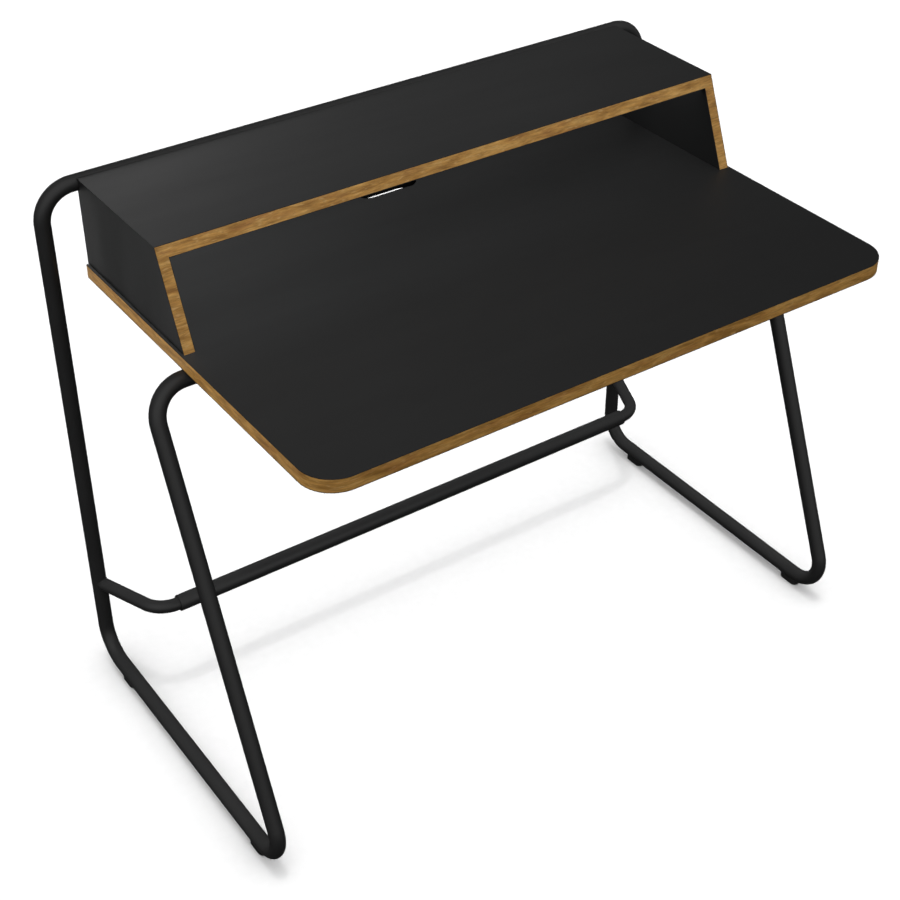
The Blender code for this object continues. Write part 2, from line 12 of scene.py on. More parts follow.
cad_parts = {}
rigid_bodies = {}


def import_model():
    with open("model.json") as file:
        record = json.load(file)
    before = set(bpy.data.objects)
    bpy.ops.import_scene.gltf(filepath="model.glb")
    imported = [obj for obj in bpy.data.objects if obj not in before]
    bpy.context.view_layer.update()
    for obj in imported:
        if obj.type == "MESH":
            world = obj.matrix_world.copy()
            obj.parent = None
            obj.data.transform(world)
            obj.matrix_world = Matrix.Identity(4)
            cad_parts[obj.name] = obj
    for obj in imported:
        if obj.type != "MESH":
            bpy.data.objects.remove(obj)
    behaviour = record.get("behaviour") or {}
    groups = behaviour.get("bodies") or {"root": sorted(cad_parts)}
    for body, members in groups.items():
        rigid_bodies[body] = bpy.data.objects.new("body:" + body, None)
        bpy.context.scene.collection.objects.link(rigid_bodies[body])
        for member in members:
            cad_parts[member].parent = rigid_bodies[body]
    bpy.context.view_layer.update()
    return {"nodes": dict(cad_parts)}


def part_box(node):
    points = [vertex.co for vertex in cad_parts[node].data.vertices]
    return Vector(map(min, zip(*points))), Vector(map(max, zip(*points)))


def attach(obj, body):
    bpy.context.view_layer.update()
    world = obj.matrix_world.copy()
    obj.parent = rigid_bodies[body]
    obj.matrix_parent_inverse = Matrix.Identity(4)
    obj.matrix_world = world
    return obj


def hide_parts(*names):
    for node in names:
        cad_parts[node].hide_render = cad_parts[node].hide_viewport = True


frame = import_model()

# ---------------------------------------------------------------- sizes, from the frame

LEAN = math.radians(22.9)       # legs and box front lean alike
TUBE_RADIUS = 0.0125
TUBE_WALL = 0.0015
BEND_RADIUS = 0.052
ARM_RADIUS = 0.011
ARM_WALL = 0.0015
ARM_BEND_RADIUS = 0.048
ARM_CORNER_X = 0.5036
LAMINATE = 0.0008
CORNER_RADIUS = 0.052
JOINT_GAP = 0.0001              # hairline between glued faces
ARRIS = 0.00025                 # how far a sharp board edge is eased

FRAME_LOW, FRAME_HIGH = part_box("frame_right")
HALF_GAP = FRAME_LOW.x
SIDE_X = FRAME_HIGH.x - TUBE_RADIUS
REAR_RAIL_Y = FRAME_HIGH.y - TUBE_RADIUS
REAR_RAIL_Z = FRAME_HIGH.z - TUBE_RADIUS
SKID_Z = FRAME_LOW.z + TUBE_RADIUS

DESK_LOW, DESK_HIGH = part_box("desktop_laminate_upper")
DESK_UNDER_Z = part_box("desktop_laminate_lower")[0].z
DESK_TOP_Z = DESK_HIGH.z

BOLT_LOW, BOLT_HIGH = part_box("front_rail_bolt_1")
FRONT_RAIL_Y = (BOLT_LOW.y + BOLT_HIGH.y) / 2
FRONT_RAIL_Z = DESK_UNDER_Z - 2 * HALF_GAP - TUBE_RADIUS
SKID_FRONT_Y = FRONT_RAIL_Y - (FRONT_RAIL_Z - SKID_Z) * math.tan(LEAN)

LINER_LOW, LINER_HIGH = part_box("slot_liner")
SLOT_Y = (LINER_LOW.y + LINER_HIGH.y) / 2
LINER_WALL = 0.0015

SLEEVE_LOW, SLEEVE_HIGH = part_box("stretcher_sleeve")
SLEEVE_RADIUS = (SLEEVE_HIGH.z - SLEEVE_LOW.z) / 2
SLEEVE_WALL = 0.0025
STRETCHER_Y = (SLEEVE_HIGH.y + SLEEVE_LOW.y) / 2
STRETCHER_Z = (SLEEVE_HIGH.z + SLEEVE_LOW.z) / 2

BOX_TOP_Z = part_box("box_top_laminate_outer")[1].z
BOX_HALF_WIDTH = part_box("box_right_laminate_outer")[1].x
BOX_FRONT_Y = 0.078
BOX_BOTTOM_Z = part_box("box_right_core")[0].z
BOARD = 0.018

SIDES = (("left", -1), ("right", 1))
SMOOTH_ANGLE = math.radians(28)
BOARD_SMOOTH_ANGLE = math.radians(50)
CLOSE = 1e-6                    # lengths that differ by less are the same


# ---------------------------------------------------------------- mesh helpers

def add_piece(name, mesh, material, slot, *nodes):
    """A finished piece: it rides on the one body and stands for its CAD nodes."""
    mesh.materials.clear()
    mesh.materials.append(material)
    piece = bpy.data.objects.new(name, mesh)
    bpy.context.scene.collection.objects.link(piece)
    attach(piece, "root")
    if nodes:
        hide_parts(*nodes)
    return piece


def mesh_from(work, name, sharp=SMOOTH_ANGLE):
    """Close a bmesh into a mesh with outward faces, smooth except across sharp edges."""
    bmesh.ops.remove_doubles(work, verts=work.verts, dist=CLOSE / 10)
    bmesh.ops.recalc_face_normals(work, faces=work.faces)
    mesh = bpy.data.meshes.new(name)
    work.to_mesh(mesh)
    work.free()
    mesh.shade_smooth()
    mesh.set_sharp_from_angle(angle=sharp)
    return mesh


def weighted(mesh):
    """The same mesh with normals that keep its wide faces flat beside their eased edges."""
    holder = bpy.data.objects.new(mesh.name, mesh)
    bpy.context.scene.collection.objects.link(holder)
    modifier = holder.modifiers.new("weighted", 'WEIGHTED_NORMAL')
    modifier.mode = 'FACE_AREA'
    modifier.weight = 100
    modifier.keep_sharp = True
    graph = bpy.context.evaluated_depsgraph_get()
    result = bpy.data.meshes.new_from_object(holder.evaluated_get(graph))
    bpy.data.objects.remove(holder, do_unlink=True)
    return result


def add_ring(work, points):
    return [work.verts.new(point) for point in points]


def skin(work, first, second):
    """Quads between two closed rings of the same length."""
    count = len(first)
    for i in range(count):
        j = (i + 1) % count
        work.faces.new((first[i], first[j], second[j], second[i]))


def skin_all(work, rings, closed=False):
    pairs = list(zip(rings, rings[1:]))
    if closed:
        pairs.append((rings[-1], rings[0]))
    for first, second in pairs:
        skin(work, first, second)


def circle(centre, side, up, radius, count):
    turns = [math.tau * i / count for i in range(count)]
    return [centre + side * radius * math.cos(a) + up * radius * math.sin(a) for a in turns]


def lathe(name, profile, place, sides=48, closed=False):
    """A turned mesh: (radius, height) points round the place's Z axis."""
    work = bmesh.new()
    z_axis, x_axis, y_axis = Vector((0, 0, 1)), Vector((1, 0, 0)), Vector((0, 1, 0))
    rings = []
    for radius, height in profile:
        points = circle(z_axis * height, x_axis, y_axis, radius, sides)
        rings.append(add_ring(work, points))
    skin_all(work, rings, closed)
    if not closed:
        work.faces.new(rings[0])
        work.faces.new(rings[-1])
    bmesh.ops.transform(work, matrix=place, verts=work.verts)
    return mesh_from(work, name)


def cut(mesh, *tools):
    """The mesh with the tool meshes cut out of it."""
    holder = bpy.data.objects.new(mesh.name + "_cut", mesh)
    bpy.context.scene.collection.objects.link(holder)
    cutters = []
    for tool in tools:
        cutter = bpy.data.objects.new(tool.name, tool)
        bpy.context.scene.collection.objects.link(cutter)
        modifier = holder.modifiers.new(tool.name, 'BOOLEAN')
        modifier.operation = 'DIFFERENCE'
        modifier.object = cutter
        cutters.append(cutter)
    graph = bpy.context.evaluated_depsgraph_get()
    result = bpy.data.meshes.new_from_object(holder.evaluated_get(graph))
    for obj in [holder] + cutters:
        bpy.data.objects.remove(obj, do_unlink=True)
    result.shade_smooth()
    result.set_sharp_from_angle(angle=SMOOTH_ANGLE)
    return result


def rod(name, start, end, radius, sides=32):
    """A plain cylinder, used as a cutter."""
    start, end = Vector(start), Vector(end)
    turn = (end - start).to_track_quat('Z', 'Y').to_matrix().to_4x4()
    length = (end - start).length
    return lathe(name, [(radius, 0.0), (radius, length)], Matrix.Translation(start) @ turn, sides)


def bent_path(corners, radius, steps):
    """(point, direction) pairs along straight runs joined by circular bends."""
    corners = [Vector(c) for c in corners]
    first = (corners[1] - corners[0]).normalized()
    path = [(corners[0], first)]
    for before, corner, after in zip(corners, corners[1:], corners[2:]):
        back = (before - corner).normalized()
        ahead = (after - corner).normalized()
        half = back.angle(ahead) / 2
        centre = corner + (back + ahead).normalized() * radius / math.sin(half)
        spoke = corner + back * radius / math.tan(half) - centre
        axis = spoke.cross(-back).normalized()
        sweep = math.pi - 2 * half
        for i in range(steps + 1):
            turn = Matrix.Rotation(sweep * i / steps, 3, axis)
            path.append((centre + turn @ spoke, turn @ -back))
    path.append((corners[-1], (corners[-1] - corners[-2]).normalized()))
    return path


def path_frames(path):
    """(point, side, up) along a path, turned no more than its bends need."""
    direction = path[0][1]
    side = direction.orthogonal().normalized()
    frames = []
    for point, ahead in path:
        side = direction.rotation_difference(ahead) @ side
        direction = ahead
        frames.append((point, side, direction.cross(side)))
    return frames


# ---------------------------------------------------------------- material helpers

def new_material(name, roughness, specular):
    material = bpy.data.materials.new(name)
    material.use_nodes = True
    shader = material.node_tree.nodes["Principled BSDF"]
    shader.inputs["Roughness"].default_value = roughness
    shader.inputs["Specular IOR Level"].default_value = specular
    return material, material.node_tree, shader


def add_node(tree, kind, inputs, **settings):
    """A node with its inputs set by name or number, to a value or to another node's output."""
    made = tree.nodes.new(kind)
    for key, value in settings.items():
        setattr(made, key, value)
    for key, value in inputs.items():
        if isinstance(value, bpy.types.NodeSocket):
            tree.links.new(value, made.inputs[key])
        else:
            made.inputs[key].default_value = value
    return made


def stretched(tree, scale, source=None):
    """Object coordinates in metres, times a scale for each axis."""
    if source is None:
        source = add_node(tree, "ShaderNodeTexCoord", {}).outputs["Object"]
    return add_node(tree, "ShaderNodeMapping", {"Vector": source, "Scale": scale}).outputs[0]


def noise(tree, vector, detail=2.0, roughness=0.5):
    inputs = {"Vector": vector, "Scale": 1.0, "Detail": detail, "Roughness": roughness}
    return add_node(tree, "ShaderNodeTexNoise", inputs).outputs["Fac"]


def ramp(tree, factor, stops):
    """A colour ramp of (position, colour) stops; a plain number is a grey."""
    made = add_node(tree, "ShaderNodeValToRGB", {"Fac": factor})
    elements = made.color_ramp.elements
    while len(elements) < len(stops):
        elements.new(0.5)
    for element, (position, colour) in zip(elements, stops):
        element.position = position
        if isinstance(colour, (int, float)):
            colour = (colour, colour, colour)
        element.color = (*colour, 1.0)
    return made.outputs["Color"]


def blend(tree, mode, factor, first, second):
    made = tree.nodes.new("ShaderNodeMix")
    made.data_type = 'RGBA'
    made.blend_type = mode
    for number, value in ((0, factor), (6, first), (7, second)):
        socket = made.inputs[number]
        if isinstance(value, bpy.types.NodeSocket):
            tree.links.new(value, socket)
        elif isinstance(value, tuple):
            socket.default_value = (*value, 1.0)
        else:
            socket.default_value = value
    return made.outputs[2]


def fade(tree, value, start, end):
    """0 before the start, 1 past the end, and smooth between."""
    return add_node(tree, "ShaderNodeMapRange", {0: value, 1: start, 2: end},
                    interpolation_type='SMOOTHSTEP').outputs[0]


def chained(tree, operation, values):
    result = values[0]
    for value in values[1:]:
        step = add_node(tree, "ShaderNodeMath", {0: result, 1: value}, operation=operation)
        result = step.outputs[0]
    return result


def product(tree, *values):
    return chained(tree, 'MULTIPLY', values)


def total(tree, *values):
    return chained(tree, 'ADD', values)


def bumped(tree, height, distance, strength=1.0, under=None):
    inputs = {"Height": height, "Distance": distance, "Strength": strength}
    if under is not None:
        inputs["Normal"] = under
    return add_node(tree, "ShaderNodeBump", inputs).outputs["Normal"]


def connect(tree, shader, **sockets):
    for key, value in sockets.items():
        tree.links.new(value, shader.inputs[key.replace("_", " ")])


# ---------------------------------------------------------------- materials

def make_powder_coat():
    """Satin black powder coat on steel: fine orange peel and slight handling marks."""
    material, tree, shader = new_material("powder_coat_black", 0.45, 0.35)
    peel = noise(tree, stretched(tree, (900, 900, 900)), 3.0, 0.6)
    wave = noise(tree, stretched(tree, (220, 220, 220)), 2.0)
    cloud = noise(tree, stretched(tree, (9, 9, 9)), 3.0)
    colour = ramp(tree, cloud, [(0.3, (0.0190, 0.0190, 0.0192)), (0.7, (0.0225, 0.0225, 0.0225))])
    gloss = ramp(tree, blend(tree, 'MIX', 0.5, cloud, peel), [(0.3, 0.40), (0.7, 0.50)])
    normal = bumped(tree, wave, 0.00006, 0.5)
    normal = bumped(tree, peel, 0.00003, 0.6, normal)
    connect(tree, shader, Base_Color=colour, Roughness=gloss, Normal=normal)
    return material


def make_black_laminate():
    """Matt black laminate: a fine pearl texture and faint clouding."""
    material, tree, shader = new_material("laminate_black", 0.52, 0.3)
    pearl = noise(tree, stretched(tree, (1300, 1300, 1300)), 2.0, 0.6)
    grit = noise(tree, stretched(tree, (4000, 4000, 4000)), 2.0, 0.5)
    cloud = noise(tree, stretched(tree, (5, 7, 5)), 4.0, 0.55)
    face = ramp(tree, cloud, [(0.3, (0.0080, 0.0081, 0.0082)), (0.7, (0.0092, 0.0093, 0.0094))])
    speck = ramp(tree, grit, [(0.35, 0.92), (0.65, 1.08)])
    colour = blend(tree, 'MULTIPLY', 0.8, face, speck)
    wiped = noise(tree, stretched(tree, (3, 16, 6)), 3.0)
    gloss = ramp(tree, blend(tree, 'MIX', 0.5, wiped, pearl), [(0.35, 0.49), (0.65, 0.56)])
    normal = bumped(tree, pearl, 0.00003, 0.5)
    connect(tree, shader, Base_Color=colour, Roughness=gloss, Normal=normal)
    return material


GLUE_LINE = 0.0007               # dark line left by the glue on the desktop's sawn edge


def make_oak(name, glue_line_z=None):
    """Lacquered oak with level grain: soft bands, fine streaks and short open pores.

    A height can be given for the dark line where the lower laminate is glued on.
    """
    material, tree, shader = new_material(name, 0.5, 0.28)
    source = add_node(tree, "ShaderNodeTexCoord", {}).outputs["Object"]
    drift = noise(tree, stretched(tree, (9, 9, 30), source), 2.0)
    lift = product(tree, drift, 0.010)
    shift = add_node(tree, "ShaderNodeCombineXYZ", {"Z": lift}).outputs[0]
    grain = add_node(tree, "ShaderNodeVectorMath", {0: source, 1: shift}).outputs[0]
    band = noise(tree, stretched(tree, (22, 22, 150), grain), 3.0, 0.6)
    streak = noise(tree, stretched(tree, (45, 45, 420), grain), 3.0, 0.65)
    fleck = noise(tree, stretched(tree, (70, 70, 330), grain), 1.0)
    warm = noise(tree, stretched(tree, (16, 16, 95), grain), 2.0)
    pore = noise(tree, stretched(tree, (140, 140, 2600), grain), 1.0)
    base = ramp(tree, band, [
        (0.34, (0.342, 0.168, 0.037)), (0.46, (0.474, 0.245, 0.060)),
        (0.56, (0.540, 0.290, 0.076)), (0.68, (0.636, 0.366, 0.108)),
    ])
    red = ramp(tree, warm, [(0.56, 0.0), (0.70, 0.60)])
    colour = blend(tree, 'MIX', red, base, (0.360, 0.154, 0.043))
    colour = blend(tree, 'MULTIPLY', 0.75, colour, ramp(tree, streak, [(0.32, 0.66), (0.66, 1.22)]))
    pale = ramp(tree, fleck, [(0.60, 0.0), (0.72, 0.55)])
    colour = blend(tree, 'MIX', pale, colour, (0.680, 0.430, 0.165))
    open_pore = ramp(tree, pore, [(0.63, 0.0), (0.70, 1.0)])
    colour = blend(tree, 'MIX', product(tree, open_pore, 0.5), colour, (0.144, 0.068, 0.020))
    if glue_line_z is not None:
        height = add_node(tree, "ShaderNodeSeparateXYZ", {0: source}).outputs["Z"]
        clean = fade(tree, height, glue_line_z + GLUE_LINE / 2, glue_line_z + GLUE_LINE)
        colour = blend(tree, 'MIX', clean, (0.020, 0.012, 0.008), colour)
    gloss = ramp(tree, streak, [(0.3, 0.46), (0.7, 0.60)])
    normal = bumped(tree, streak, 0.00004, 0.5)
    dark_pore = add_node(tree, "ShaderNodeInvert", {"Color": open_pore}).outputs[0]
    normal = bumped(tree, dark_pore, 0.00008, 0.6, normal)
    connect(tree, shader, Base_Color=colour, Roughness=gloss, Normal=normal)
    return material


def make_moulded_plastic():
    """Black moulded plastic with a fine spark texture."""
    material, tree, shader = new_material("moulded_black", 0.55, 0.4)
    spark = noise(tree, stretched(tree, (2600, 2600, 2600)), 2.0, 0.65)
    cloud = noise(tree, stretched(tree, (60, 60, 60)), 2.0)
    colour = ramp(tree, cloud, [(0.3, 0.0115), (0.7, 0.0165)])
    gloss = ramp(tree, spark, [(0.3, 0.48), (0.7, 0.62)])
    normal = bumped(tree, spark, 0.00003, 0.7)
    connect(tree, shader, Base_Color=colour, Roughness=gloss, Normal=normal)
    return material


def make_zinc():
    """Zinc-plated steel: dull metal with fine turning marks and a patchy passivated tone."""
    material, tree, shader = new_material("zinc_plated", 0.35, 0.5)
    shader.inputs["Metallic"].default_value = 1.0
    patch = noise(tree, stretched(tree, (700, 700, 700)), 4.0, 0.6)
    mark = noise(tree, stretched(tree, (400, 400, 9000)), 2.0)
    colour = ramp(tree, patch, [(0.3, (0.47, 0.47, 0.46)), (0.7, (0.60, 0.60, 0.61))])
    gloss = ramp(tree, blend(tree, 'MIX', 0.5, patch, mark), [(0.3, 0.28), (0.7, 0.46)])
    normal = bumped(tree, mark, 0.00001, 0.5)
    connect(tree, shader, Base_Color=colour, Roughness=gloss, Normal=normal)
    return material


def make_plywood():
    """Raw birch plywood: pale fibres and darker plies."""
    material, tree, shader = new_material("birch_ply", 0.7, 0.25)
    fibre = noise(tree, stretched(tree, (1400, 40, 1400)), 3.0, 0.6)
    ply = noise(tree, stretched(tree, (900, 2, 900)), 1.0)
    base = ramp(tree, fibre, [(0.3, (0.50, 0.34, 0.19)), (0.7, (0.66, 0.49, 0.31))])
    colour = blend(tree, 'MULTIPLY', 0.6, base, ramp(tree, ply, [(0.4, 0.7), (0.6, 1.0)]))
    gloss = ramp(tree, fibre, [(0.3, 0.62), (0.7, 0.78)])
    normal = bumped(tree, fibre, 0.00005, 0.5)
    connect(tree, shader, Base_Color=colour, Roughness=gloss, Normal=normal)
    return material


FLOOR_SIZE = 18.0
FLOOR_ALBEDO = 0.15
FLOOR_MOTTLE = 0.003             # how far the paper's tone strays from its albedo
FLOOR_GLOW = 0.04


def make_floor_paper():
    """White studio paper, lit until it burns out, and more so far from the desk."""
    material, tree, shader = new_material("studio_paper", 0.9, 0.0)
    fibre = noise(tree, stretched(tree, (60, 60, 60)), 3.0)
    colour = ramp(tree, fibre, [(0.3, FLOOR_ALBEDO - FLOOR_MOTTLE), (0.7, FLOOR_ALBEDO + FLOOR_MOTTLE)])
    shader.inputs["Emission Color"].default_value = (1.0, 1.0, 1.0, 1.0)
    place = add_node(tree, "ShaderNodeTexCoord", {}).outputs["Object"]
    away = add_node(tree, "ShaderNodeVectorMath", {0: place}, operation='LENGTH').outputs["Value"]
    glow = total(tree, fade(tree, away, FLOOR_SIZE / 6, FLOOR_SIZE / 3), FLOOR_GLOW)
    normal = bumped(tree, fibre, 0.0001, 0.2)
    connect(tree, shader, Base_Color=colour, Emission_Strength=glow, Normal=normal)
    return material


COAT = make_powder_coat()
LAMINATE_BLACK = make_black_laminate()
OAK = make_oak("oak_lacquered")
DESK_OAK = make_oak("oak_desktop", DESK_UNDER_Z + LAMINATE)
PLASTIC = make_moulded_plastic()
ZINC = make_zinc()
PLYWOOD = make_plywood()


# ---------------------------------------------------------------- tube frame

TUBE_SIDES = 56
BEND_STEPS = 26
RIM = 0.0003                    # rounding of a cut tube end


def tube_mesh(name, frames, radius, wall):
    """A hollow tube with slightly rounded rims."""
    work = bmesh.new()
    rings = []
    start, side, up = frames[0]
    ahead = side.cross(up)
    rings.append(add_ring(work, circle(start, side, up, radius - RIM, TUBE_SIDES)))
    rings.append(add_ring(work, circle(start + ahead * RIM, side, up, radius, TUBE_SIDES)))
    for point, side, up in frames[1:-1]:
        rings.append(add_ring(work, circle(point, side, up, radius, TUBE_SIDES)))
    end, side, up = frames[-1]
    ahead = side.cross(up)
    rings.append(add_ring(work, circle(end - ahead * RIM, side, up, radius, TUBE_SIDES)))
    rings.append(add_ring(work, circle(end, side, up, radius - RIM, TUBE_SIDES)))
    for point, side, up in reversed(frames):
        rings.append(add_ring(work, circle(point, side, up, radius - wall, TUBE_SIDES)))
    skin_all(work, rings, closed=True)
    return mesh_from(work, name)


def frame_corners(side):
    x = side * SIDE_X
    meet = side * HALF_GAP
    return [
        (meet, REAR_RAIL_Y, REAR_RAIL_Z), (x, REAR_RAIL_Y, REAR_RAIL_Z),
        (x, REAR_RAIL_Y, SKID_Z), (x, SKID_FRONT_Y, SKID_Z),
        (x, FRONT_RAIL_Y, FRONT_RAIL_Z), (meet, FRONT_RAIL_Y, FRONT_RAIL_Z),
    ]


ACCESS_HOLE_RADIUS = 0.005


def make_frame_half(label, side):
    node = "frame_" + label
    frames = path_frames(bent_path(frame_corners(side), BEND_RADIUS, BEND_STEPS))
    mesh = tube_mesh(node + "_tube", frames, TUBE_RADIUS, TUBE_WALL)
    holes = []
    for i in range(1, 5):
        low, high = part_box(f"rear_rail_screw_{i}")
        x = (low.x + high.x) / 2
        if x * side > 0:
            middle = (x, REAR_RAIL_Y + TUBE_RADIUS / 3, REAR_RAIL_Z)
            rear = (x, REAR_RAIL_Y + 2 * TUBE_RADIUS, REAR_RAIL_Z)
            holes.append(rod(f"access_hole_{i}", middle, rear, ACCESS_HOLE_RADIUS))
    add_piece("fine_" + node, cut(mesh, *holes), COAT, "tube_black", node)


def coped(points, axis_x, axis_y, radius, ahead):
    """Ring points slid along the arm until they lie on the upright's surface."""
    flat = Vector((ahead.x, ahead.y)).normalized()
    moved = []
    for point in points:
        offset = Vector((point.x - axis_x, point.y - axis_y))
        along = offset.dot(flat)
        across = offset.cross(flat)
        slide = math.sqrt(radius * radius - across * across) - along
        moved.append(point + Vector((flat.x, flat.y, 0.0)) * slide)
    return moved


BEAD_RADIUS = 0.0011
BEAD_SIDES = 12
BEAD_STEPS = 3 * TUBE_SIDES
BEAD_RIPPLES = 14
RIPPLE_DEPTH = 0.10              # as a share of the bead's radius


def make_weld_bead(label, curve, axis):
    """A small fillet weld along the coped end of an arm, with faint ripples."""
    work = bmesh.new()
    count = len(curve)
    rings = []
    for i, point in enumerate(curve):
        ahead = (curve[(i + 1) % count] - curve[i - 1]).normalized()
        out = point - axis
        out = (out - ahead * out.dot(ahead)).normalized()
        ripple = 1.0 + RIPPLE_DEPTH * math.sin(math.tau * i * BEAD_RIPPLES / count)
        points = circle(point, out, ahead.cross(out), BEAD_RADIUS * ripple, BEAD_SIDES)
        rings.append(add_ring(work, points))
    skin_all(work, rings, closed=True)
    add_piece("weld_bead_" + label, mesh_from(work, "weld_bead_" + label), COAT, "tube_black")


def make_arm(label, side):
    node = "stretcher_arm_" + label
    low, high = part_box(node)
    inner_x = min(abs(low.x), abs(high.x))
    corners = [
        (side * SIDE_X, REAR_RAIL_Y, STRETCHER_Z), (side * ARM_CORNER_X, STRETCHER_Y, STRETCHER_Z),
        (side * inner_x, STRETCHER_Y, STRETCHER_Z),
    ]
    frames = path_frames(bent_path(corners, ARM_BEND_RADIUS, BEND_STEPS))
    ahead = frames[0][1].cross(frames[0][2])
    work = bmesh.new()
    outer, inner = [], []
    for point, across, up in frames:
        outer.append(circle(point, across, up, ARM_RADIUS, TUBE_SIDES))
        inner.append(circle(point, across, up, ARM_RADIUS - ARM_WALL, TUBE_SIDES))
    clear = TUBE_RADIUS + JOINT_GAP
    outer[0] = coped(outer[0], side * SIDE_X, REAR_RAIL_Y, clear, ahead)
    inner[0] = coped(inner[0], side * SIDE_X, REAR_RAIL_Y, clear, ahead)
    rings = [add_ring(work, points) for points in outer + inner[::-1]]
    skin_all(work, rings, closed=True)
    add_piece("fine_" + node, mesh_from(work, node + "_tube"), COAT, "tube_black", node)
    start = circle(*frames[0], ARM_RADIUS, BEAD_STEPS)
    curve = coped(start, side * SIDE_X, REAR_RAIL_Y, TUBE_RADIUS, ahead)
    middle = sum(curve, Vector()) / len(curve)
    make_weld_bead(label, curve, middle)


SLEEVE_CHAMFER = 0.0006


def make_sleeve():
    """The sleeve over both arms, its ends lightly chamfered, and its grub screws."""
    half = (SLEEVE_HIGH.x - SLEEVE_LOW.x) / 2
    bore = SLEEVE_RADIUS - SLEEVE_WALL
    chamfer = SLEEVE_CHAMFER
    profile = [
        (bore, -half + chamfer / 2), (bore + chamfer / 2, -half), (SLEEVE_RADIUS - chamfer, -half),
        (SLEEVE_RADIUS - chamfer / 3, -half + chamfer / 3), (SLEEVE_RADIUS, -half + chamfer),
        (SLEEVE_RADIUS, half - chamfer), (SLEEVE_RADIUS - chamfer / 3, half - chamfer / 3),
        (SLEEVE_RADIUS - chamfer, half), (bore + chamfer / 2, half), (bore, half - chamfer / 2),
    ]
    turn = Matrix.Translation((0, STRETCHER_Y, STRETCHER_Z)) @ Matrix.Rotation(math.pi / 2, 4, 'Y')
    mesh = lathe("sleeve_tube", profile, turn, TUBE_SIDES, closed=True)
    holes = []
    for label, side in SIDES:
        low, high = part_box(f"sleeve_grub_screw_{label}")
        x = (low.x + high.x) / 2
        start = (x, STRETCHER_Y, STRETCHER_Z - SLEEVE_RADIUS - SLEEVE_WALL)
        radius = (high.x - low.x) / 2 + JOINT_GAP
        holes.append(rod("grub_hole_" + label, start, (x, STRETCHER_Y, STRETCHER_Z), radius))
        make_grub_screw(label, x, low.z, high.z, (high.x - low.x) / 2)
    add_piece("fine_stretcher_sleeve", cut(mesh, *holes), COAT, "tube_black", "stretcher_sleeve")


HEXAGON = 6                      # sides of a socket


def make_grub_screw(label, x, low_z, high_z, radius):
    """A set screw seen from below, with its hexagon socket and chamfered rim."""
    height = high_z - low_z
    rim = radius * 0.15
    profile = [(radius - rim, height), (radius, height - rim), (radius, rim), (radius - rim, 0.0)]
    node = f"sleeve_grub_screw_{label}"
    mesh = lathe(node + "_body", profile, Matrix.Translation((x, STRETCHER_Y, low_z)), 36)
    below, middle = (x, STRETCHER_Y, low_z - height), (x, STRETCHER_Y, low_z + height / 2)
    socket = rod(node + "_socket", below, middle, radius * 0.5, HEXAGON)
    add_piece("fine_" + node, cut(mesh, socket), ZINC, "zinc", node)


def stadium_ring(centre, length, width, z, steps=20):
    """A closed slot-shaped ring in plan, long along Y."""
    cx, cy = centre
    reach = (length - width) / 2
    points = []
    for sign in (1, -1):
        for i in range(steps + 1):
            turn = math.pi * i / steps
            x = cx + sign * width / 2 * math.cos(turn)
            y = cy + sign * (reach + width / 2 * math.sin(turn))
            points.append(Vector((x, y, z)))
    return points


SADDLE_RISE = 0.0035             # how far a glide's cheeks reach up round the skid


def make_glide(node):
    """A moulded saddle under the skid, stepped in to its sole."""
    low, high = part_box(node)
    centre = ((low.x + high.x) / 2, (low.y + high.y) / 2)
    length, width = high.y - low.y, high.x - low.x
    land = SKID_Z - TUBE_RADIUS + SADDLE_RISE
    steps = (                    # (inset, height) from the sole up
        (0.0016, 0.0), (0.0011, 0.0004), (0.0011, 0.0013), (0.0002, 0.0015), (0.0, 0.0018),
        (0.0, land - 0.0005), (0.00015, land - 0.00015), (0.0005, land),
    )
    work = bmesh.new()
    rings = []
    for inset, z in steps:
        points = stadium_ring(centre, length - 2 * inset, width - 2 * inset, z)
        rings.append(add_ring(work, points))
    skin_all(work, rings)
    work.faces.new(rings[0])
    work.faces.new(rings[-1])
    mesh = mesh_from(work, node + "_body")
    front = (centre[0], low.y - length, SKID_Z)
    rear = (centre[0], high.y + length, SKID_Z)
    seat = rod(node + "_seat", front, rear, TUBE_RADIUS + JOINT_GAP, 96)
    add_piece("fine_" + node, cut(mesh, seat), PLASTIC, "plastic_black", node)


# ---------------------------------------------------------------- desktop

REAR_CORNER_RADIUS = 0.0008


def desk_ring(inset, z, steps=28):
    """The desktop's outline, inset by a little: wide front corners, tight rear corners."""
    half = DESK_HIGH.x - inset
    front, rear = DESK_LOW.y + inset, DESK_HIGH.y - inset
    corners = (
        (-half, front, CORNER_RADIUS - inset, 2), (half, front, CORNER_RADIUS - inset, 3),
        (half, rear, REAR_CORNER_RADIUS, 0), (-half, rear, REAR_CORNER_RADIUS, 1),
    )
    points = []
    for x, y, radius, quarter in corners:
        cx = x - math.copysign(radius, x)
        cy = y + radius if y == front else y - radius
        count = steps if radius > REAR_CORNER_RADIUS else 4
        for i in range(count + 1):
            turn = (quarter + i / count) * math.pi / 2
            points.append(Vector((cx + radius * math.cos(turn), cy + radius * math.sin(turn), z)))
    return points


def slot_ring(grow, z, steps=24):
    """The cable slot's outline, long along X, grown outwards a little."""
    length = LINER_HIGH.x - LINER_LOW.x + 2 * grow
    width = LINER_HIGH.y - LINER_LOW.y + 2 * grow
    points = stadium_ring((0.0, 0.0), length, width, z, steps)
    return [Vector((p.y, p.x + SLOT_Y, z)) for p in points]


def ring_edges(work, ring):
    return [work.edges.get((a, b)) for a, b in zip(ring, ring[1:] + ring[:1])]


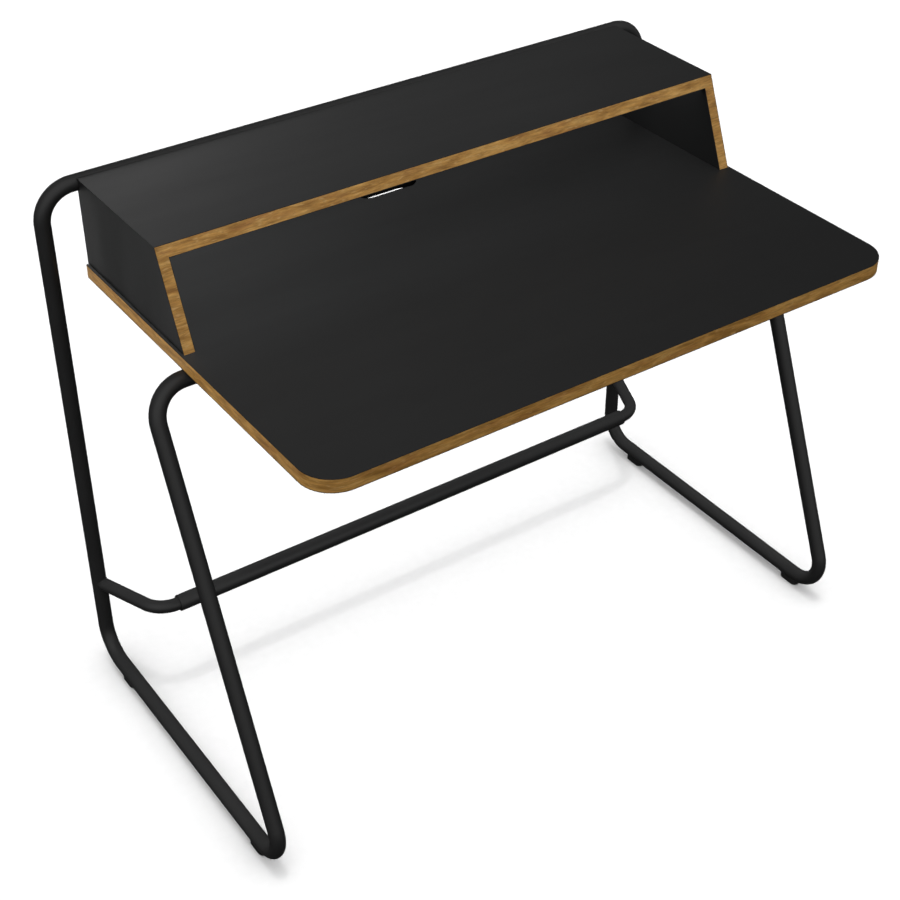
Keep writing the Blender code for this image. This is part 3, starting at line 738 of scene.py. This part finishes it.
def plate_mesh(name, outer_steps, inner_steps):
    """A flat plate with the cable slot through it, from (inset, z) steps of its two outlines."""
    work = bmesh.new()
    outer = [add_ring(work, desk_ring(inset, z)) for inset, z in outer_steps]
    inner = [add_ring(work, slot_ring(grow, z)) for grow, z in inner_steps]
    skin_all(work, outer)
    skin_all(work, inner)
    for end in (0, -1):
        edges = ring_edges(work, outer[end]) + ring_edges(work, inner[end])
        bmesh.ops.triangle_fill(work, use_beauty=True, use_dissolve=False, edges=edges)
    return weighted(mesh_from(work, name))


def make_desktop():
    top, under = DESK_TOP_Z, DESK_UNDER_Z
    core_low, core_high = under + LAMINATE, top - LAMINATE
    gap = JOINT_GAP
    core = plate_mesh(
        "desktop_core_board", [(0.0, core_low), (0.0, core_high)], [(gap, core_low), (gap, core_high)])
    add_piece("fine_desktop_core", core, DESK_OAK, "oak", "desktop_core")
    upper = plate_mesh(
        "desktop_upper_sheet", [(0.0, core_high), (0.0, top - ARRIS), (ARRIS, top)],
        [(gap, core_high), (gap, top - ARRIS), (gap + ARRIS, top)])
    add_piece("fine_desktop_laminate_upper", upper, LAMINATE_BLACK, "laminate_black",
              "desktop_laminate_upper")
    lower = plate_mesh(
        "desktop_lower_sheet", [(ARRIS, under), (0.0, under + ARRIS), (0.0, core_low)],
        [(gap + ARRIS, under), (gap, under + ARRIS), (gap, core_low)])
    add_piece("fine_desktop_laminate_lower", lower, LAMINATE_BLACK, "laminate_black",
              "desktop_laminate_lower")


def make_slot_liner():
    """The moulded ring in the cable slot, with rounded rims."""
    rim = LINER_WALL * 0.4
    top, under, bore = DESK_TOP_Z, DESK_UNDER_Z, -LINER_WALL
    steps = (
        (0.0, under + rim / 2), (-rim / 2, under), (bore + rim, under), (bore, under + rim),
        (bore, top - rim), (bore + rim * 0.3, top - rim * 0.3), (bore + rim, top),
        (-rim / 2, top), (0.0, top - rim / 2),
    )
    work = bmesh.new()
    rings = [add_ring(work, slot_ring(grow, z)) for grow, z in steps]
    skin_all(work, rings, closed=True)
    mesh = mesh_from(work, "slot_liner_ring")
    add_piece("fine_slot_liner", mesh, PLASTIC, "plastic_black", "slot_liner")


# ---------------------------------------------------------------- shelf box

COVE_RADIUS = TUBE_RADIUS + JOINT_GAP
COVE_STEPS = 14


def front_y(z):
    """Where the box's leaning front plane is at a height."""
    return BOX_FRONT_Y - (BOX_TOP_Z - z) * math.tan(LEAN)


def rear_edge(low_z, high_z):
    """(y, z) points up the rear edge of a board, hollowed where it hugs the rear rail."""
    rear = DESK_HIGH.y
    half_chord = math.sqrt(COVE_RADIUS ** 2 - (REAR_RAIL_Y - rear) ** 2)
    points = []
    cove_low = REAR_RAIL_Z - half_chord
    if low_z < cove_low:
        points += [(rear, low_z), (rear, cove_low)]
    start = max(low_z, cove_low)
    first = 0 if low_z >= cove_low else 1
    for i in range(first, COVE_STEPS + 1):
        z = start + (high_z - start) * i / COVE_STEPS
        points.append((REAR_RAIL_Y - math.sqrt(COVE_RADIUS ** 2 - (z - REAR_RAIL_Z) ** 2), z))
    return points


def loft(name, first, second, eased):
    """A solid between two matching outlines; the edges that eased() picks are rounded a little."""
    work = bmesh.new()
    rings = [add_ring(work, first), add_ring(work, second)]
    skin_all(work, rings)
    work.faces.new(rings[0])
    work.faces.new(rings[1])
    bmesh.ops.recalc_face_normals(work, faces=work.faces)
    picked = [e for e in work.edges if eased(e.verts[0].co, e.verts[1].co)
              and e.calc_face_angle(0.0) > SMOOTH_ANGLE]
    if picked:
        bmesh.ops.bevel(work, geom=picked, offset=ARRIS, segments=2, profile=0.5, affect='EDGES',
                        clamp_overlap=True)
    return weighted(mesh_from(work, name, BOARD_SMOOTH_ANGLE))


def make_box_top(layer, outer, inner, material, slot, open_face):
    """One layer of the box top, mitred at both ends."""
    high, low = BOX_TOP_Z - outer, BOX_TOP_Z - inner
    section = rear_edge(low, high) + [(front_y(high), high), (front_y(low), low)]

    def ring(side):
        reach = BOX_HALF_WIDTH - JOINT_GAP
        return [Vector((side * (reach - (BOX_TOP_Z - z)), y, z)) for y, z in section]

    def eased(a, b):
        if open_face is None:
            return False
        return abs(a.z - open_face) < CLOSE and abs(b.z - open_face) < CLOSE

    node = "box_top_" + layer
    mesh = loft(node + "_board", ring(-1), ring(1), eased)
    add_piece("fine_" + node, mesh, material, slot, node)


def make_box_side(label, side, layer, outer, inner, material, slot, open_face):
    """One layer of a box side, mitred at the top."""
    def ring(depth):
        high = BOX_TOP_Z - depth - JOINT_GAP
        section = rear_edge(BOX_BOTTOM_Z, high)
        section += [(front_y(high), high), (front_y(BOX_BOTTOM_Z), BOX_BOTTOM_Z)]
        return [Vector((side * (BOX_HALF_WIDTH - depth), y, z)) for y, z in section]

    def eased(a, b):
        if open_face is None:
            return False
        plane = side * (BOX_HALF_WIDTH - open_face)
        return abs(a.x - plane) < CLOSE and abs(b.x - plane) < CLOSE

    node = f"box_{label}_{layer}"
    mesh = loft(node + "_board", ring(outer), ring(inner), eased)
    add_piece("fine_" + node, mesh, material, slot, node)


def make_box():
    layers = (
        ("laminate_outer", 0.0, LAMINATE, LAMINATE_BLACK, "laminate_black", 0.0),
        ("core", LAMINATE, BOARD - LAMINATE, OAK, "oak", None),
        ("laminate_inner", BOARD - LAMINATE, BOARD, LAMINATE_BLACK, "laminate_black", BOARD),
    )
    for layer, outer, inner, material, slot, open_depth in layers:
        face = None if open_depth is None else BOX_TOP_Z - open_depth
        make_box_top(layer, outer, inner, material, slot, face)
        for label, side in SIDES:
            make_box_side(label, side, layer, outer, inner, material, slot, open_depth)


# ---------------------------------------------------------------- fasteners

BOLT_SHANK_RADIUS = 0.003
BOLT_TIP_CHAMFER = 0.0005
BOLT_SOCKET_RADIUS = 0.0023
BOLT_SOCKET_DEPTH = 0.002
DOME_TURN = math.radians(72)     # how far round the bolt head's dome runs
DOME_STEPS = 10


def make_front_rail_bolt(node):
    """A button-head bolt: domed head with a hexagon socket."""
    low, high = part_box(node)
    x, y = (low.x + high.x) / 2, (low.y + high.y) / 2
    head = (high.x - low.x) / 2
    shank = BOLT_SHANK_RADIUS
    seat = FRONT_RAIL_Z - TUBE_RADIUS - 2 * HALF_GAP
    head_height, length = seat - low.z, high.z - seat
    profile = [(shank * 0.85, length), (shank, length - BOLT_TIP_CHAMFER), (shank, 0.0), (head, 0.0)]
    for i in range(1, DOME_STEPS + 1):
        turn = DOME_TURN * i / DOME_STEPS
        height = -head_height * math.sin(turn) / math.sin(DOME_TURN)
        profile.append((head * (0.35 + 0.65 * math.cos(turn)), height))
    mesh = lathe(node + "_body", profile, Matrix.Translation((x, y, seat)))
    below, bottom = (x, y, low.z - head_height), (x, y, low.z + BOLT_SOCKET_DEPTH)
    socket = rod(node + "_socket", below, bottom, BOLT_SOCKET_RADIUS, HEXAGON)
    add_piece("fine_" + node, cut(mesh, socket), ZINC, "zinc", node)


def star_cut(name, centre, direction, size, depth):
    """Two crossed bars: the recess of a cross-head screw."""
    tools = []
    turn = direction.to_track_quat('Z', 'Y').to_matrix().to_4x4()
    for i, (wide, tall) in enumerate(((size, size / 4), (size / 4, size))):
        work = bmesh.new()
        shape = Matrix.Diagonal((wide, tall, 2 * depth, 1.0))
        bmesh.ops.create_cube(work, size=1.0, matrix=Matrix.Translation(centre) @ turn @ shape)
        tools.append(mesh_from(work, f"{name}_{i}"))
    return tools


SCREW_HEAD_HEIGHT = 0.003
SCREW_POINT = 0.005
SCREW_TIP_RADIUS = 0.0004
SCREW_PLAIN = 0.006              # what the ridges leave bare, both ends together
SCREW_NECK = 0.001
THREAD_PITCH = 0.0018
RECESS_DEPTH = 0.0016


def make_cross_screw(node, direction):
    """A plated screw: pan head with a cross recess, and a pointed shank ridged like a thread."""
    low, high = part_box(node)
    centre = (low + high) / 2
    size = high - low
    length = abs(size.dot(direction))
    head = max(abs(size.x), min(abs(size.y), abs(size.z))) / 2
    shank = head * 0.56
    core = shank * 0.8
    base = centre - direction * length / 2
    head_height = SCREW_HEAD_HEIGHT
    profile = [
        (head * 0.55, 0.0), (head * 0.85, head_height * 0.18), (head, head_height * 0.5),
        (head, head_height), (core, head_height),
    ]
    for i in range(int((length - head_height - SCREW_PLAIN) / THREAD_PITCH)):
        start = head_height + SCREW_NECK + i * THREAD_PITCH
        profile += [(core, start), (shank, start + THREAD_PITCH / 2)]
    profile += [(core, length - SCREW_POINT), (SCREW_TIP_RADIUS, length)]
    place = Matrix.Translation(base) @ direction.to_track_quat('Z', 'Y').to_matrix().to_4x4()
    mesh = lathe(node + "_body", profile, place, 36)
    tools = star_cut(node + "_recess", base, direction, head * 1.1, RECESS_DEPTH)
    add_piece("fine_" + node, cut(mesh, *tools), ZINC, "zinc", node)


# ---------------------------------------------------------------- build

for side_label, side_sign in SIDES:
    make_frame_half(side_label, side_sign)
    make_arm(side_label, side_sign)
    make_glide("glide_front_" + side_label)
    make_glide("glide_rear_" + side_label)
    for number in (1, 2):
        make_cross_screw(f"box_screw_{side_label}_{number}", Vector((0, 0, 1)))
make_sleeve()
make_desktop()
make_slot_liner()
make_box()
for number in range(1, 5):
    make_front_rail_bolt(f"front_rail_bolt_{number}")
    make_cross_screw(f"rear_rail_screw_{number}", Vector((0, -1, 0)))

# hidden pieces keep their CAD shape and only get a material
KEPT_NODES = {
    "box_back_panel": (LAMINATE_BLACK, "back_black"),
    "rail_spigot_rear": (ZINC, "zinc"),
    "rail_spigot_front": (ZINC, "zinc"),
    "mitre_spline_left": (PLYWOOD, "plywood"),
    "mitre_spline_right": (PLYWOOD, "plywood"),
}
KEPT_NODES.update({f"desk_insert_{i}": (ZINC, "zinc") for i in range(1, 5)})
for kept_name, (kept_material, kept_slot) in KEPT_NODES.items():
    kept = frame["nodes"][kept_name]
    kept.data.materials.clear()
    kept.data.materials.append(kept_material)


# ---------------------------------------------------------------- studio

def make_floor():
    mesh = bpy.data.meshes.new("studio_floor")
    work = bmesh.new()
    bmesh.ops.create_grid(work, x_segments=8, y_segments=8, size=FLOOR_SIZE / 2)
    work.to_mesh(mesh)
    work.free()
    mesh.materials.append(make_floor_paper())
    floor = bpy.data.objects.new("studio_floor", mesh)
    bpy.context.scene.collection.objects.link(floor)
    floor.visible_diffuse = False
    floor.visible_glossy = False


DOME_STRENGTH = 0.85
DOME_LEAN = -0.30                # how the dome's strength changes with X
WALL_RIGHT = 0.33                # the reflected wall's brightness at its right end
WALL_RISE = 0.55                 # and how much it gains to the left
AIR, SHADE = 0.06, 0.015         # what reflects level with the desk, and from below
BACKDROP = (1.2, 1.2, 1.2)


def make_world():
    """A white dome, brighter overhead and to the left, nearly dark below.

    Reflections see a calmer room: a pale wall in front that dims to the right, dim air behind and a
    dark floor. The camera sees a burnt-out white backdrop.
    """
    world = bpy.data.worlds.new("studio")
    bpy.context.scene.world = world
    world.use_nodes = True
    tree = world.node_tree
    background = tree.nodes["Background"]
    direction = add_node(tree, "ShaderNodeTexCoord", {}).outputs["Generated"]
    parts = add_node(tree, "ShaderNodeSeparateXYZ", {0: direction})
    x, y, z = (parts.outputs[axis] for axis in "XYZ")
    height = add_node(tree, "ShaderNodeMapRange", {0: z, 1: -1.0, 2: 1.0}).outputs[0]
    leftward = add_node(tree, "ShaderNodeMath", {0: x, 1: DOME_LEAN, 2: 1.0},
                        operation='MULTIPLY_ADD').outputs[0]
    dome = ramp(tree, height, [(0.47, 0.02), (0.53, 0.74), (1.0, 1.25)])
    dome = product(tree, dome, leftward, DOME_STRENGTH)
    wall = total(tree, product(tree, fade(tree, x, 0.75, 0.15), WALL_RISE), WALL_RIGHT)
    wall = product(tree, fade(tree, y, 0.25, -0.35), fade(tree, z, -0.30, 0.15), wall)
    air = product(tree, fade(tree, z, -0.45, 0.05), AIR)
    gloss = total(tree, wall, air, SHADE)
    path = add_node(tree, "ShaderNodeLightPath", {})
    seen = blend(tree, 'MIX', path.outputs["Is Glossy Ray"], dome, gloss)
    shown = blend(tree, 'MIX', path.outputs["Is Camera Ray"], seen, BACKDROP)
    tree.links.new(shown, background.inputs["Color"])


def linked_group(name, pieces):
    group = bpy.data.collections.new(name)
    for piece in pieces:
        group.objects.link(bpy.data.objects[piece])
    return group


def make_light(name, place, target, size, radiance, receivers, blockers=None, glossy=True,
               spread=180.0):
    """A rectangular soft light of an even radiance that lights only its receivers."""
    data = bpy.data.lights.new(name, 'AREA')
    data.shape = 'RECTANGLE'
    data.size, data.size_y = size
    data.energy = radiance * math.pi * size[0] * size[1]
    data.spread = math.radians(spread)
    light = bpy.data.objects.new(name, data)
    light.location = place
    aim = Vector(target) - Vector(place)
    light.rotation_mode = 'QUATERNION'
    light.rotation_quaternion = aim.to_track_quat('-Z', 'Y')
    light.visible_camera = False
    light.visible_glossy = glossy
    data.cycles.use_multiple_importance_sampling = False    # so that one light doesn't hide the next
    light.light_linking.receiver_collection = linked_group(name + "_receivers", receivers)
    if blockers:
        light.light_linking.blocker_collection = linked_group(name + "_blockers", blockers)
    bpy.context.scene.collection.objects.link(light)


DESK_TOP_SHEET = "fine_desktop_laminate_upper"
BOARDS_Y, BOARDS_Z = 0.2, 0.85          # the depth and height that the rear lights aim at
REAR_SOFTBOXES = (                      # name, place, width, radiance
    ("rear_softbox", (1.2, 5.2, 1.9), 1.4, 4.9),
    ("high_right_softbox", (2.4, 3.6, 3.6), 1.6, 0.75),
)


def light_boards():
    """Softboxes behind that skim the black faces, and fill on the sides and oak edges."""
    boards = [piece.name for piece in bpy.data.objects
              if piece.name.startswith(("fine_desktop", "fine_box"))]
    blockers = ["fine_frame_left", "fine_frame_right", DESK_TOP_SHEET]
    for name, place, width, radiance in REAR_SOFTBOXES:
        make_light(name, place, (0.0, BOARDS_Y, BOARDS_Z), (width, width), radiance, boards, blockers)
    for label, side in SIDES:
        target = (side * BOX_HALF_WIDTH, BOARDS_Y, BOARDS_Z)
        make_light(f"{label}_bounce", (side * 1.9, 3.4, -0.6), target, (2.4, 2.4), 0.6,
                   [f"fine_box_{label}_laminate_outer", "fine_desktop_core"], blockers)
        make_light(f"{label}_edge_fill", (side * 1.2, 0.75, DESK_TOP_Z), (side * 0.5, 0.26, DESK_TOP_Z),
                   (0.6, 0.6), 1.8, ["fine_desktop_core"], [DESK_TOP_SHEET], glossy=False)
    make_light("shelf_edge_fill", (-0.45, -0.36, 1.0), (-0.5, 0.05, BOX_TOP_Z), (0.15, 0.15), 1.6,
               ["fine_box_top_core"])


SKID_RADIANCE = {"left": 0.72, "right": 1.0}


def light_tubes():
    """A softbox over the stretcher, and a narrow beam from behind along each skid."""
    stretcher = ["fine_stretcher_arm_left", "fine_stretcher_arm_right", "fine_stretcher_sleeve",
                 "weld_bead_left", "weld_bead_right"]
    make_light("stretcher_softbox", (0.0, 1.5, 3.6), (0.0, STRETCHER_Y, STRETCHER_Z), (4.0, 3.0), 2.8,
               stretcher, stretcher, glossy=False)
    for label, side in SIDES:
        x = side * SIDE_X
        make_light(f"skid_beam_{label}", (x, 0.65, 0.79), (x, 0.01, SKID_Z), (0.6, 0.54),
                   SKID_RADIANCE[label], [f"fine_frame_{label}"], [DESK_TOP_SHEET], glossy=False,
                   spread=24.0)


SHELF_FILL_DROP = 0.002                 # how far under the box top the shelf's fill lights lie
SHELF_FILL_STEP = 0.004                 # keeps two overlapping lights apart


def light_shelf():
    """Fill inside the shelf box, in two halves: one pair for the desktop, one for the box sides."""
    top = BOX_TOP_Z - BOARD - SHELF_FILL_DROP
    depth = DESK_HIGH.y - BOX_FRONT_Y
    width = 2 * (BOX_HALF_WIDTH - BOARD)
    y = (DESK_HIGH.y + BOX_FRONT_Y) / 2
    for label, side in SIDES:
        x = side * width / 4
        for what, drop, radiance, receiver in (
                ("desk", 0.0, 1.5, DESK_TOP_SHEET),
                ("side", SHELF_FILL_STEP, 3.0, f"fine_box_{label}_laminate_inner")):
            make_light(f"shelf_fill_{what}_{label}", (x, y, top - drop), (x, y, 0.0),
                       (width / 2, depth), radiance, [receiver], glossy=False)


FLOOR_LIGHTS = ((4.0, 0.09), (40.0, 0.17), (170.0, 0.68))   # spread in degrees, share of white


def light_floor():
    """Light straight down from under the desktop, so that only the frame throws shadows."""
    place = (0.0, 0.0, FRONT_RAIL_Z - 2 * TUBE_RADIUS)
    for spread, share in FLOOR_LIGHTS:
        make_light(f"floor_light_{spread:.0f}", place, (0.0, 0.0, 0.0), (FLOOR_SIZE, FLOOR_SIZE),
                   share / FLOOR_ALBEDO, ["studio_floor"], glossy=False, spread=spread)


CAMERA_PLACE = (-1.3054, -1.7889, 2.0230)
CAMERA_AZIMUTH = math.radians(-34.675)
CAMERA_ELEVATION = math.radians(36.144)
CAMERA_LENS = 67.97              # millimetres, as is the sensor's width
CAMERA_SENSOR = 36.0


def make_camera():
    data = bpy.data.cameras.new("camera")
    data.lens = CAMERA_LENS
    data.sensor_width = CAMERA_SENSOR
    camera = bpy.data.objects.new("camera", data)
    level = math.cos(CAMERA_ELEVATION)
    back = Vector((math.sin(CAMERA_AZIMUTH) * level, -math.cos(CAMERA_AZIMUTH) * level,
                   math.sin(CAMERA_ELEVATION)))
    camera.location = CAMERA_PLACE
    camera.rotation_mode = 'QUATERNION'
    camera.rotation_quaternion = (-back).to_track_quat('-Z', 'Y')
    bpy.context.scene.collection.objects.link(camera)
    bpy.context.scene.camera = camera


make_floor()
make_world()
light_boards()
light_tubes()
light_shelf()
light_floor()
make_camera()
bpy.context.scene.view_settings.view_transform = 'Standard'
